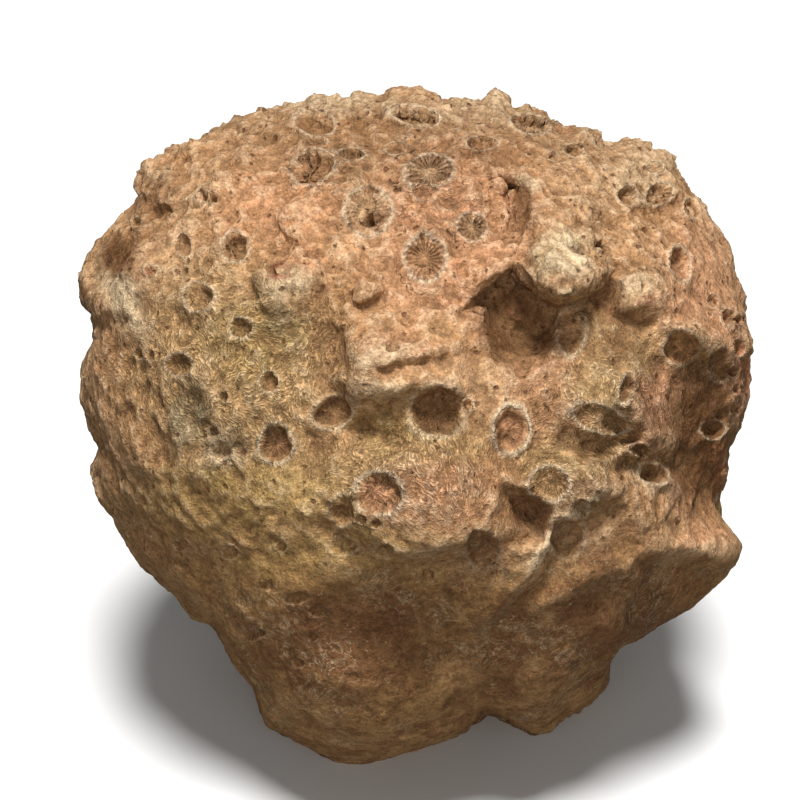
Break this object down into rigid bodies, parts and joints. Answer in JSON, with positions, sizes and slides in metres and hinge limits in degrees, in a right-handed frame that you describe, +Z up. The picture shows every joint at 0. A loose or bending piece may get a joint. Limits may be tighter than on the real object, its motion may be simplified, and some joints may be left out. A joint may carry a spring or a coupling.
{
  "type": "coral rock",
  "caption": "Rounded lump of weathered coral limestone, pitted with star cups and broken into ledges and knobs, cut off flat below to stand on.",
  "frame": {"origin": "on the flat break that the stone stands on, under the middle of its box", "axes": "+Z up, out of the ground; the pictured face looks along -Y, and +X is to its right"},
  "size_m": [0.1748, 0.187, 0.1727],
  "materials": {
    "weathered_limestone": "dry and matte, peach to ochre with pale rims and ledges and brown recesses, finely ribbed and pored"
  },
  "bodies": {
    "root": {"coral_rock": "weathered_limestone"}
  },
  "joints": []
}
